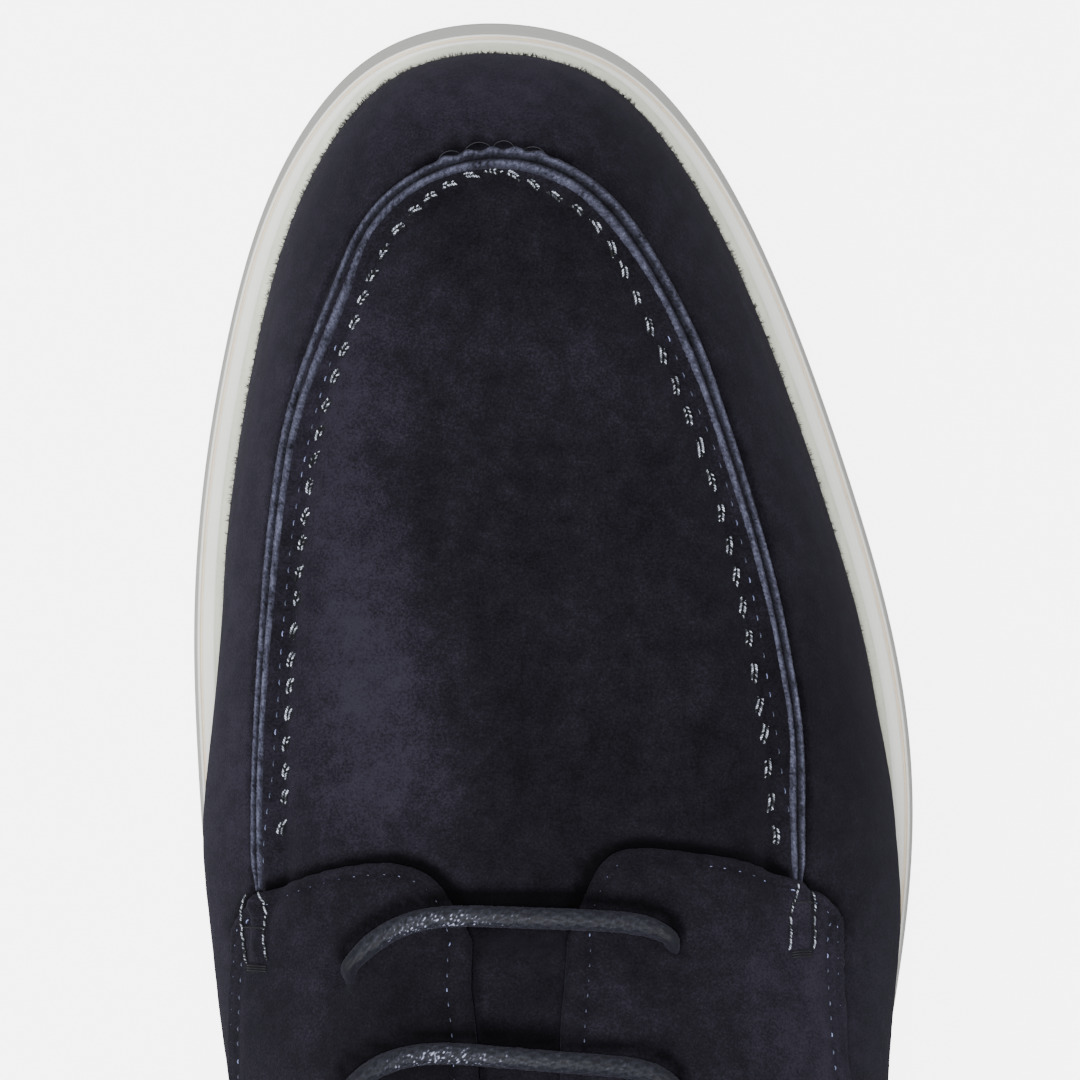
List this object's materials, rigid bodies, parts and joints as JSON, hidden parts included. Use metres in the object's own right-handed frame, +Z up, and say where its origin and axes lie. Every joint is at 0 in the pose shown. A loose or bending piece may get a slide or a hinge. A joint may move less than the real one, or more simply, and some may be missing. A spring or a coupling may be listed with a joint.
{
  "type": "derby shoe",
  "caption": "Right apron-toe derby shoe: hollow suede upper with a raised seam, lobed facings laced over a tongue, on a rimmed rubber unit sole.",
  "frame": {"origin": "centre of the footprint box, on the floor under the sole", "axes": "+Y from the toe to the heel, +Z up, +X towards the medial side of this right shoe"},
  "size_m": [0.1077, 0.302, 0.1106],
  "materials": {
    "suede_navy": "napped navy suede",
    "rubber_white": "matt off-white rubber",
    "leather_tan": "smooth tan lining leather",
    "lace_navy": "waxed navy braid"
  },
  "bodies": {
    "root": {"sole": "rubber_white", "insole": "leather_tan", "upper": "suede_navy", "tongue": "suede_navy", "apron_seam": "suede_navy", "quarter_medial": "suede_navy", "quarter_lateral": "suede_navy", "lace_bar_1": "lace_navy", "lace_bar_2": "lace_navy", "lace_bar_3": "lace_navy", "lace_bar_4": "lace_navy"}
  },
  "joints": []
}
